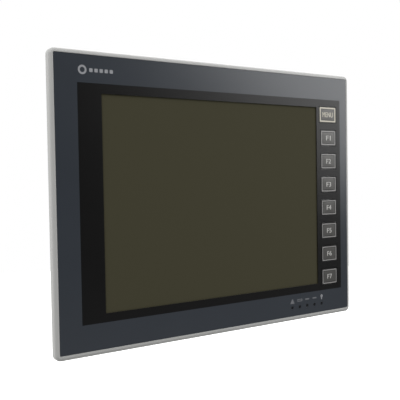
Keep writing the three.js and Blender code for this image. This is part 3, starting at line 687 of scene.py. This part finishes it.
def lamp_signs():
    """A generic sign over each status lamp: warning, cell, two data bars and supply."""
    low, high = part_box("led_light_pipe")
    film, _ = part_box("front_overlay")
    z = (low.z + high.z) / 2 + SIGN_RISE
    bell = [(-2.6 * MM, -2.2 * MM), (2.6 * MM, -2.2 * MM), (0.5 * MM, 1.9 * MM), (-0.5 * MM, 1.9 * MM)]
    cell = [rectangle(6.0 * MM, 2.2 * MM, 0.4 * MM), rectangle(4.4 * MM, 0.9 * MM, 0.1 * MM)]
    bar = [rectangle(5.0 * MM, 1.2 * MM, 0.3 * MM)]
    drop = [circle(1.45 * MM, 20), circle(0.35 * MM, 12)]
    stem = [rectangle(1.2 * MM, 1.8 * MM, 0.3 * MM)]
    signs = [
        ("alarm", [bell], ICON_GREY, 0.0),
        ("cell", cell, ICON_GREY, 0.2 * MM),
        ("send", bar, ICON_GREY, 0.3 * MM),
        ("receive", bar, ICON_GREY, 0.3 * MM),
        ("supply", drop, ICON_LIGHT, 1.1 * MM),
    ]
    for i, (name, loops, ink, rise) in enumerate(signs):
        x = low.x + LAMP_MARGIN + i * LAMP_PITCH
        parts = [(relief(loops, **SIGN_INK), ink, at(x, film.y, z + rise))]
        if name == "supply":
            parts.append((relief(stem, **SIGN_INK), ink, at(x, film.y, z + rise - SIGN_PART_STEP)))
        piece(f"icon_{name}", "terminal", parts)


EMBLEM_Z = 96.7 * MM
EMBLEM_INK = {"thickness": 0.08 * MM, "sink": 0.03 * MM}
RING = {"x": -123.4 * MM, "outer": 3.4 * MM, "inner": 1.9 * MM}
SQUARES = {"count": 5, "first": -116.6 * MM, "pitch": 4.1 * MM, "side": 2.7 * MM, "corner": 0.5 * MM}


def emblem():
    """A plain ring and a row of squares where a maker would put a mark."""
    film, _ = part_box("front_overlay")
    ring = relief([circle(RING["outer"], 32), circle(RING["inner"], 28)], **EMBLEM_INK)
    parts = [(ring, ICON_LIGHT, at(RING["x"], film.y, EMBLEM_Z))]
    for i in range(SQUARES["count"]):
        square = relief([rectangle(SQUARES["side"], SQUARES["side"], SQUARES["corner"])], **EMBLEM_INK)
        x = SQUARES["first"] + i * SQUARES["pitch"]
        parts.append((square, ICON_LIGHT, at(x, film.y, EMBLEM_Z)))
    piece("emblem", "terminal", parts)


# -------- sockets

PORT_Y = 32 * MM  # middle of the two serial sockets
PORTS = {
    "com1": {"shell": 16.3 * MM, "flange": 30.8 * MM, "pins": (5, 4)},
    "com2": {"shell": 38.3 * MM, "flange": 53.0 * MM, "pins": (13, 12)},
}
SHELL_HALF = 3.95 * MM  # half the depth of a D-shaped shell
SHELL_WALL = 0.55 * MM
SHELL_LEAN = math.radians(10)  # of a shell's short sides
PIN_PITCH = 2.77 * MM
PIN_ROW = 1.42 * MM  # from a shell's middle to each row
PIN_HOLE = 0.72 * MM  # radius
PIN_SLEEVE = (0.7 * MM, 0.42 * MM)  # outer and inner radius
INSERT = {"thickness": 0.24 * MM, "edge": 0.05 * MM, "sink": 0.06 * MM}
SLEEVE_DEPTH = {"thickness": 0.9 * MM, "edge": 0.06 * MM, "sink": 0.8 * MM}
FLANGE_Z = -73 * MM  # the flanges' lower faces
LOCK_INSET = 2.9 * MM  # from a flange's end to its hexagon lock
LOCK_DROP = 0.4 * MM  # from the flange down to a lock, on its washer
LOCK_RADII = (2.7 * MM, 1.25 * MM)
LOCK_DEPTH = {"thickness": 4.6 * MM, "edge": 0.3 * MM}
WASHER_RADII = (3.0 * MM, 1.3 * MM)
WASHER_DEPTH = {"thickness": 0.5 * MM, "edge": 0.1 * MM, "sink": 0.1 * MM}


def d_outline(half_width, half_depth):
    """Drawn as the underside shows it: the wide side is the one nearer the cabinet's back."""
    lean = 2 * half_depth * math.tan(SHELL_LEAN)
    narrow = half_width - lean
    wide_side = [(-half_width, -half_depth), (half_width, -half_depth)]
    return [*wide_side, (narrow, half_depth), (-narrow, half_depth)]


def serial_sockets():
    """Black insert, gold contacts and hexagon locks for the two serial sockets."""
    for name, port in PORTS.items():
        low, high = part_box(f"{name}_port")
        x = (low.x + high.x) / 2
        pins = []
        for row, count in enumerate(port["pins"]):
            for i in range(count):
                pins.append(((i - (count - 1) / 2) * PIN_PITCH, PIN_ROW if row else -PIN_ROW))
        outline = d_outline(port["shell"] / 2 - SHELL_WALL, SHELL_HALF - SHELL_WALL)
        holes = [circle(PIN_HOLE, 12, px, py) for px, py in pins]
        place = at(x, PORT_Y, low.z, TO_UNDERSIDE)
        parts = [(relief([outline, *holes], **INSERT), BLACK, place)]
        for px, py in pins:
            walls = [circle(radius, 12, px, py) for radius in PIN_SLEEVE]
            parts.append((relief(walls, **SLEEVE_DEPTH), GOLD, place))
        piece(f"{name}_insert", "terminal", parts)
        for side, label in ((-1, "left"), (1, "right")):
            lock_x = x + side * (port["flange"] / 2 - LOCK_INSET)
            outer, bore = LOCK_RADII
            nut = relief([circle(outer, 6), circle(bore, 16)], **LOCK_DEPTH)
            outer, bore = WASHER_RADII
            washer = relief([circle(outer, 24), circle(bore, 16)], **WASHER_DEPTH)
            parts = [
                (nut, NICKEL, at(lock_x, PORT_Y, FLANGE_Z - LOCK_DROP, TO_UNDERSIDE)),
                (washer, STEEL, at(lock_x, PORT_Y, FLANGE_Z, TO_UNDERSIDE)),
            ]
            piece(f"{name}_lock_{label}", "terminal", parts)


def ribbon(points, width, thickness):
    """A bent strip of sheet metal along (y, z) points, this wide in x."""
    shape = bmesh.new()
    half = width / 2
    line = [Vector((0, y, z)) for y, z in points]
    rows = []
    for i, point in enumerate(line):
        ahead = line[min(i + 1, len(line) - 1)] - line[max(i - 1, 0)]
        side = Vector((0, -ahead.z, ahead.y)).normalized() * thickness / 2
        corners = [(-half, 1), (half, 1), (half, -1), (-half, -1)]
        rows.append([shape.verts.new(point + Vector((x, 0, 0)) + side * s) for x, s in corners])
    for a, b in zip(rows, rows[1:]):
        for i in range(4):
            shape.faces.new((a[i], a[(i + 1) % 4], b[(i + 1) % 4], b[i]))
    shape.faces.new(rows[0][::-1])
    shape.faces.new(rows[-1])
    return closed(shape, "ribbon")


LAMP_GREEN = moulded("lamp_green", (0.06, 0.3, 0.08), 0.2)
LAMP_YELLOW = moulded("lamp_yellow", (0.5, 0.3, 0.04), 0.2)

MOUTH = {"width": 11.7 * MM, "depth": 6.9 * MM, "wall": 0.3 * MM, "deep": 11.6 * MM}
MOUTH_Y = 32.1 * MM
MOUTH_LIP = 0.1 * MM  # how far the lining stands out of the socket
MOUTH_BACK = 12 * MM  # from the socket's front face to the wall that holds the contacts
CONTACTS = {"count": 8, "pitch": 1.02 * MM, "width": 0.45 * MM, "thickness": 0.25 * MM}
CONTACT_BEND = [(0.5, 1.2), (0.9, 2.4), (3.2, 9.0), (3.0, 10.2)]  # mm: off that wall, into the mouth
PORT_LAMP = {"width": 1.3 * MM, "height": 2.6 * MM, "corner": 0.2 * MM}
PORT_LAMP_OFFSET = (6.95 * MM, 2.2 * MM)  # sideways from the socket's middle, and in from its front
PORT_LAMP_DEPTH = {"thickness": 0.35 * MM, "edge": 0.08 * MM, "sink": 0.1 * MM}


def network_socket():
    """Black lining and eight spring contacts in the mouth, and two small lamps beside it."""
    low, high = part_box("ethernet_port")
    x = (low.x + high.x) / 2
    wall, deep = MOUTH["wall"], MOUTH["deep"]
    mouth = rectangle(MOUTH["width"], MOUTH["depth"])
    bore = rectangle(MOUTH["width"] - 2 * wall, MOUTH["depth"] - 2 * wall)
    lining = relief([mouth, bore], deep, sink=deep - MOUTH_LIP)
    end = relief([mouth], wall)
    place = at(x, MOUTH_Y, low.z, TO_UNDERSIDE)
    end_place = at(x, MOUTH_Y, low.z + deep, TO_UNDERSIDE)
    piece("ethernet_lining", "terminal", [(lining, BLACK, place), (end, BLACK, end_place)])
    parts = []
    bend = [(low.y + MOUTH_BACK - off * MM, low.z + up * MM) for off, up in CONTACT_BEND]
    for i in range(CONTACTS["count"]):
        offset = (i - (CONTACTS["count"] - 1) / 2) * CONTACTS["pitch"]
        strip = ribbon(bend, CONTACTS["width"], CONTACTS["thickness"])
        parts.append((strip, GOLD, Matrix.Translation((x + offset, 0, 0))))
    piece("ethernet_contacts", "terminal", parts)
    lamps = []
    sideways, inwards = PORT_LAMP_OFFSET
    for side, colour in ((-1, LAMP_GREEN), (1, LAMP_YELLOW)):
        outline = rectangle(PORT_LAMP["width"], PORT_LAMP["height"], PORT_LAMP["corner"])
        lens = relief([outline], **PORT_LAMP_DEPTH)
        place = at(x + side * sideways, low.y + inwards, low.z, TO_UNDERSIDE)
        lamps.append((lens, colour, place))
    piece("ethernet_lamps", "terminal", lamps)


TONGUE_HALF = 5.75 * MM  # half its width
TONGUE_Y = (29.85 * MM, 32.05 * MM)
TONGUE_REACH = (1.0 * MM, 9.4 * MM)  # from the mouth inwards
TONGUE_EDGE = 0.2 * MM
STRIP = {"half": 0.5 * MM, "thickness": 0.2 * MM, "length": 7.0 * MM, "edge": 0.06 * MM}
STRIP_SINK = 0.08 * MM  # into the tongue
STRIP_START = 1.8 * MM  # from the mouth
STRIP_PLACES = (-3.5 * MM, -1.0 * MM, 1.0 * MM, 3.5 * MM)


def usb_socket():
    """White tongue with four gold contacts."""
    low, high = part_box("usb_port")
    x = (low.x + high.x) / 2
    front, back = TONGUE_Y
    start, end = TONGUE_REACH
    near = (x - TONGUE_HALF, front, low.z + start)
    far = (x + TONGUE_HALF, back, low.z + end)
    parts = [(box_mesh(near, far, TONGUE_EDGE), WHITE, Matrix.Identity(4))]
    half = STRIP["half"]
    for offset in STRIP_PLACES:
        strip = box_mesh((-half, 0, 0), (half, STRIP["thickness"], STRIP["length"]), STRIP["edge"])
        place = (x + offset, back - STRIP_SINK, low.z + STRIP_START)
        parts.append((strip, GOLD, Matrix.Translation(place)))
    piece("usb_tongue", "terminal", parts)


WAYS = 3
WAY_PITCH = 5.08 * MM
CAGE_Y = 30.4 * MM
CAGE_LOOPS = ((3.2 * MM, 3.7 * MM, 0.3 * MM), (2.5 * MM, 3.0 * MM, 0.2 * MM))  # width, height, corner
CAGE_DEPTH = {"thickness": 5.0 * MM, "edge": 0.08 * MM, "sink": 4.8 * MM}
CAGE_LIFT = 0.5 * MM  # from the terminal's lower face up to where a cage is drawn
RIB = {"half": 0.3 * MM, "sink": 0.1 * MM, "stand": 0.5 * MM, "inset": 0.4 * MM}
RIB_EDGE = 0.12 * MM


def supply_cages():
    """Plated wire cages in the mouths of the supply terminal, and ribs between its ways."""
    low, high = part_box("supply_terminal")
    for i in range(WAYS):
        x = (low.x + high.x) / 2 + (i - (WAYS - 1) / 2) * WAY_PITCH
        cage = relief([rectangle(*size) for size in CAGE_LOOPS], **CAGE_DEPTH)
        place = at(x, CAGE_Y, low.z + CAGE_LIFT, TO_UNDERSIDE)
        piece(f"supply_cage_{i + 1}", "terminal", [(cage, NICKEL, place)])
    ribs = []
    half = RIB["half"]
    for i in range(WAYS + 1):
        x = low.x + i * (high.x - low.x) / WAYS
        x = min(max(x, low.x + half), high.x - half)
        near = (x - half, high.y - RIB["sink"], low.z + RIB["inset"])
        far = (x + half, high.y + RIB["stand"], high.z - RIB["inset"])
        ribs.append((box_mesh(near, far, RIB_EDGE), GREEN, Matrix.Identity(4)))
    piece("supply_ribs", "terminal", ribs)


# -------- back: label, switch marks

PLATE = {"width": 58 * MM, "height": 38 * MM, "corner": 2 * MM, "x": 88 * MM, "z": 24 * MM}
PLATE_DEPTH = {"thickness": 0.16 * MM, "edge": 0.05 * MM, "sink": 0.02 * MM}
PLATE_FACE = 0.14 * MM  # the plate's face off the housing
PRINT_DEPTH = 0.04 * MM
BORDER = {"inset": 4 * MM, "line": 0.35 * MM, "corner": 1.2 * MM, "inner_corner": 1 * MM}
RULE = {"count": 4, "inset": 4.5 * MM, "line": 0.25 * MM, "pitch": 6.8 * MM}
BAR = {"count": 5, "height": 1.5 * MM, "corner": 0.3 * MM, "inset": 5 * MM}
LEFT_SHARE = 0.36  # of the plate's width, for the bars in the left column
RIGHT_SHARES = (0.22, 0.4)  # between these for the bars in the right column
GUARD_RADII = (3.6 * MM, 2.35 * MM)
GUARD_DEPTH = {"thickness": 0.5 * MM, "edge": 0.15 * MM, "sink": 0.1 * MM}
DIGIT = {"width": 0.7 * MM, "narrow": 0.2 * MM, "height": 1.0 * MM, "thickness": 0.05 * MM}
DIGIT_OFF = 0.01 * MM  # a digit's middle off the switch's face
DIGIT_LIFT = 0.75 * MM  # above the switch's lower edge


def rating_plate(y):
    """Blank label with a ruled table on the housing's back."""
    width, height, x, z = PLATE["width"], PLATE["height"], PLATE["x"], PLATE["z"]
    plate = relief([rectangle(width, height, PLATE["corner"])], **PLATE_DEPTH)
    outer = (width - BORDER["inset"], height - BORDER["inset"])
    line = 2 * BORDER["line"]
    loops = [rectangle(*outer, BORDER["corner"])]
    loops.append(rectangle(outer[0] - line, outer[1] - line, BORDER["inner_corner"]))
    parts = [(plate, LABEL, at(x, y, z, TO_BACK))]
    top = y + PLATE_FACE
    parts.append((relief(loops, PRINT_DEPTH), LABEL_INK, at(x, top, z, TO_BACK)))
    for i in range(RULE["count"]):
        rule = relief([rectangle(width - RULE["inset"], RULE["line"])], PRINT_DEPTH)
        rise = (i - (RULE["count"] - 1) / 2) * RULE["pitch"]
        parts.append((rule, LABEL_INK, at(x, top, z + rise, TO_BACK)))
    for i in range(BAR["count"]):
        rise = ((BAR["count"] - 1) / 2 - i) * RULE["pitch"]
        for column, share in ((-1, LEFT_SHARE), (1, random.uniform(*RIGHT_SHARES))):
            bar_width = share * width
            bar = relief([rectangle(bar_width, BAR["height"], BAR["corner"])], PRINT_DEPTH)
            offset = column * width / 4 - column * (width / 2 - BAR["inset"] - bar_width) / 4
            parts.append((bar, LABEL_INK, at(x - offset, top, z + rise, TO_BACK)))
    piece("rating_label", "terminal", parts)


def back_marks():
    """The rating label, a guard ring round the reset button and numbers at the switches."""
    _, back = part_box("rear_housing")
    rating_plate(back.y)

    low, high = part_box("reset_button")
    outer, inner = GUARD_RADII
    ring = relief([circle(outer, 32), circle(inner, 28)], **GUARD_DEPTH)
    middle = (low + high) / 2
    piece("reset_guard", "terminal", [(ring, SHELL, at(middle.x, back.y, middle.z, TO_BACK))])

    low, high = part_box("dip_switch_body")
    marks = []
    for digit in "1234":
        lever_low, lever_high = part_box(f"dip_lever_{digit}")
        lever_x = (lever_low.x + lever_high.x) / 2
        width = DIGIT["narrow"] if digit == "1" else DIGIT["width"]
        mark = lettering(digit, width, DIGIT["height"], DIGIT["thickness"])
        marks.append((mark, WHITE, at(lever_x, high.y + DIGIT_OFF, low.z + DIGIT_LIFT, TO_BACK)))
    piece("dip_numbers", "terminal", marks)


# -------- clamp screws

THREAD = {"radius": 1.98 * MM, "depth": 0.38 * MM, "pitch": 0.7 * MM}
THREAD_START = 1.9 * MM  # from the screw's tip
HEAD_DEPTH = 3.4 * MM
HEAD_OVERLAP = 0.1 * MM  # of the rod into the head
HEAD_CHAMFER = 0.2 * MM
SLOT_WIDTH = 1.0 * MM
SLOT_SHARE = 0.4  # of the head's depth
MOON_SHARE = 0.42  # the same for the half discs, which reach a little into the disc below
MOON_EDGE = 0.18 * MM
TIP_PROFILE = [(0, 0), (1.2, 0), (1.35, 0.15), (1.35, 2.3), (0, 2.3)]  # mm


def thread(start, end, sides=24, steps=6):
    """A threaded rod along Y from start to end, closed at both ends."""
    radius, depth, pitch = THREAD["radius"], THREAD["depth"], THREAD["pitch"]
    shape = bmesh.new()
    count = int((end - start) / pitch * steps)
    rings = []
    for j in range(count + 1):
        y = start + (end - start) * j / count
        ring = []
        for i in range(sides):
            phase = ((y - start) / pitch - i / sides) % 1
            taper = min(1, (y - start) / pitch + 0.3)
            r = (radius - depth * abs(2 * phase - 1)) * taper**0.3
            angle = 2 * math.pi * i / sides
            ring.append(shape.verts.new((r * math.cos(angle), y, r * math.sin(angle))))
        rings.append(ring)
    for a, b in zip(rings, rings[1:]):
        for i in range(sides):
            shape.faces.new((a[i], a[(i + 1) % sides], b[(i + 1) % sides], b[i]))
    shape.faces.new(rings[0])
    shape.faces.new(rings[-1])
    return closed(shape, "thread")


def slotted_head(radius):
    """A cheese head about Z: a chamfered disc, and two half discs on it with the slot between them."""
    floor_z = HEAD_DEPTH * (1 - SLOT_SHARE)
    chamfer = [(radius - HEAD_CHAMFER, 0), (radius, HEAD_CHAMFER)]
    profile = [(0, 0), *chamfer, (radius, floor_z), (0, floor_z)]
    start = math.asin(SLOT_WIDTH / 2 / radius)
    arc = [start + (math.pi - 2 * start) * i / 20 for i in range(21)]
    half = [(radius * math.cos(a), radius * math.sin(a)) for a in arc]
    other = [(-x, -y) for x, y in half]
    moons = [relief([outline], HEAD_DEPTH * MOON_SHARE, MOON_EDGE) for outline in (half, other)]
    return turned(profile, 40), moons


def clamp_screws():
    """Threaded steel clamp screws with slotted heads, in place of the CAD's plain ones."""
    for i in range(1, 5):
        node = f"clamp_screw_{i}"
        low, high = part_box(node)
        x, z = (low.x + high.x) / 2, (low.z + high.z) / 2
        head_y = high.y - HEAD_DEPTH
        rod = thread(low.y + THREAD_START, head_y + HEAD_OVERLAP)
        tip = turned([(r * MM, up * MM) for r, up in TIP_PROFILE], 24)
        base, moons = slotted_head((high.x - low.x) / 2)
        parts = [
            (rod, THREAD_STEEL, Matrix.Translation((x, 0, z))),
            (tip, STEEL, at(x, low.y, z, TO_BACK)),
            (base, STEEL, at(x, head_y, z, TO_BACK)),
        ]
        moon_place = at(x, high.y - HEAD_DEPTH * MOON_SHARE, z, TO_BACK)
        parts += [(moon, STEEL, moon_place) for moon in moons]
        made = piece(f"threaded_screw_{i}", node, parts)
        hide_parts(node)


# -------- parts on the boards

RESISTOR = moulded("resistor_black", (0.03, 0.03, 0.035), 0.35)
CERAMIC = moulded("ceramic_tan", (0.42, 0.3, 0.18), 0.4)
SLEEVE = moulded("sleeve_blue", (0.03, 0.05, 0.16), 0.35)

CHIP = {"width": 3.2 * MM, "height": 1.6 * MM, "rise": 0.8 * MM, "edge": 0.1 * MM}
CHIP_END = {"half": 0.25 * MM, "proud": 0.02 * MM, "over": 0.03 * MM, "edge": 0.06 * MM}
CHIP_ROWS = (-10 * MM, -18 * MM, -30 * MM, -40 * MM)
CHIP_COLUMNS = {"count": 14, "first": -84 * MM, "pitch": 6.2 * MM}
RESISTOR_SHARE = 0.6
CAN_PLACES = (-40 * MM, -28 * MM, 44 * MM, 84 * MM)
CAN_Z = 54 * MM
CAN_PROFILE = [(0, 0), (3.6, 0), (4, 0.4), (4, 9.2), (3.5, 9.8), (0, 9.6)]  # mm
CAN_TOP_PROFILE = [(0, 0), (3.1, 0), (3.1, 0.25), (0, 0.2)]  # mm
CAN_TOP_RISE = 9.7 * MM  # off the board


def chip_part(x, y, z, finish):
    """A surface-mount part: its body and the tinned ends it is soldered by."""
    width, height, rise = CHIP["width"], CHIP["height"], CHIP["rise"]
    near, far = (x - width / 2, y, z - height / 2), (x + width / 2, y + rise, z + height / 2)
    body = box_mesh(near, far, CHIP["edge"])
    parts = [(body, finish, Matrix.Identity(4))]
    half = CHIP_END["half"]
    for side in (-1, 1):
        end_x = x + side * width / 2
        low = (end_x - half, y, z - height / 2 - CHIP_END["proud"])
        high = (end_x + half, y + rise + CHIP_END["over"], z + height / 2 + CHIP_END["proud"])
        parts.append((box_mesh(low, high, CHIP_END["edge"]), STEEL, Matrix.Identity(4)))
    return parts


def board_parts():
    """Rows of resistors and ceramic capacitors between the chips, and four tall sleeved capacitors."""
    low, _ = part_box("main_board")
    face = low.y + BOARD_THICKNESS
    parts = []
    for z in CHIP_ROWS:
        for i in range(CHIP_COLUMNS["count"]):
            x = CHIP_COLUMNS["first"] + i * CHIP_COLUMNS["pitch"]
            finish = RESISTOR if random.random() < RESISTOR_SHARE else CERAMIC
            parts += chip_part(x, face, z, finish)
    piece("board_small_parts", "terminal", parts)
    cans = []
    for x in CAN_PLACES:
        can = turned([(r * MM, up * MM) for r, up in CAN_PROFILE])
        cans.append((can, SLEEVE, at(x, face, CAN_Z, TO_BACK)))
        top = turned([(r * MM, up * MM) for r, up in CAN_TOP_PROFILE])
        cans.append((top, NICKEL, at(x, face + CAN_TOP_RISE, CAN_Z, TO_BACK)))
    piece("board_capacitors", "terminal", cans)


# -------- studio

LIGHT_AIM = (0, 0.02, 0)
LIGHTS = [  # name, place, width and height, radiance
    ("key_light", (-1.7, -1.2, 1.85), (1.8, 1.8), 5.1),
    ("sheen_light", (1.08, -0.68, 0.49), (0.75, 1.02), 4.2),
    ("back_left_light", (1.1, 1.1, 0.8), (2.0, 2.0), 0.95),
    ("back_right_light", (-1.2, 1.0, 0.3), (1.8, 1.8), 0.75),
    ("under_light", (0.1, 0.5, -1.1), (0.8, 0.8), 1.2),
]
WORLD_RISES = [  # the world's light along an axis: 0 at the first value, and the last number at the second
    ("Y", -0.1, 0.7, 0.75),
    ("Z", 0.3, 0.9, 1.1),
    ("Z", -0.05, -0.5, 0.6),
]
WORLD_LEAST = 0.03  # in every direction
FLOOR_PROFILE = [(0, -0.02), (3.0, -0.02), (3.02, -0.01), (3.0, 0.0), (0, 0.0)]
FLOOR_SIDES = 96


def studio():
    """Soft rectangular lights of even radiance."""
    for name, place, (width, height), radiance in LIGHTS:
        data = bpy.data.lights.new(name, "AREA")
        data.shape = "RECTANGLE"
        data.size, data.size_y = width, height
        data.energy = radiance * math.pi * width * height
        lamp = bpy.data.objects.new(name, data)
        lamp.location = place
        lamp.rotation_mode = "QUATERNION"
        lamp.rotation_quaternion = (Vector(LIGHT_AIM) - Vector(place)).to_track_quat("-Z", "Z")
        bpy.context.scene.collection.objects.link(lamp)
    bpy.context.scene.view_settings.view_transform = "Standard"


def world():
    """White to the camera. As light, dim in front of the terminal and brighter above, below and behind."""
    made = bpy.data.worlds.new("studio")
    made.use_nodes = True
    tree = made.node_tree
    tree.nodes.clear()
    node = tree.nodes.new
    join = tree.links.new
    way = node("ShaderNodeSeparateXYZ")
    join(node("ShaderNodeTexCoord").outputs["Generated"], way.inputs[0])
    ramps = []
    for axis, low, high, most in WORLD_RISES:
        ramp = node("ShaderNodeMapRange")
        ramp.interpolation_type = "SMOOTHSTEP"
        join(way.outputs[axis], ramp.inputs["Value"])
        ramp.inputs["From Min"].default_value = low
        ramp.inputs["From Max"].default_value = high
        ramp.inputs["To Max"].default_value = most
        ramps.append(ramp.outputs["Result"])
    level = ramps[0]
    for ramp in ramps[1:]:
        total = node("ShaderNodeMath")
        join(level, total.inputs[0])
        join(ramp, total.inputs[1])
        level = total.outputs[0]
    lift = node("ShaderNodeMath")
    join(level, lift.inputs[0])
    lift.inputs[1].default_value = WORLD_LEAST
    soft, white = node("ShaderNodeBackground"), node("ShaderNodeBackground")
    join(lift.outputs[0], soft.inputs["Strength"])
    choose = node("ShaderNodeMixShader")
    join(node("ShaderNodeLightPath").outputs["Is Camera Ray"], choose.inputs[0])
    join(soft.outputs[0], choose.inputs[1])
    join(white.outputs[0], choose.inputs[2])
    for light in (soft, white):
        light.inputs["Color"].default_value = (1, 1, 1, 1)
    join(choose.outputs[0], node("ShaderNodeOutputWorld").inputs[0])
    bpy.context.scene.world = made


def floor():
    """A plain pale floor, round, well below the terminal."""
    low, _ = cad_box
    disc = turned(FLOOR_PROFILE, FLOOR_SIDES)
    made = bpy.data.objects.new("floor", disc)
    disc.materials.append(studio_floor())
    made.location = (0, 0, low.z - FLOOR_DROP)
    made.visible_glossy = False
    made.visible_diffuse = False
    bpy.context.scene.collection.objects.link(made)


def camera():
    data = bpy.data.cameras.new("camera")
    data.sensor_width = CAMERA["sensor_width"]
    data.lens = CAMERA["lens"]
    made = bpy.data.objects.new("camera", data)
    made.location = CAMERA["place"]
    made.rotation_mode = "QUATERNION"
    aim = Vector(CAMERA["aim"]).to_track_quat("-Z", "Y")
    made.rotation_quaternion = aim @ Quaternion((0, 0, 1), math.radians(CAMERA["roll"]))
    bpy.context.scene.collection.objects.link(made)
    bpy.context.scene.camera = made


camera()
world()
studio()
floor()
finish_nodes()
key_prints()
lamp_signs()
emblem()
serial_sockets()
network_socket()
usb_socket()
supply_cages()
back_marks()
clamp_screws()
board_parts()
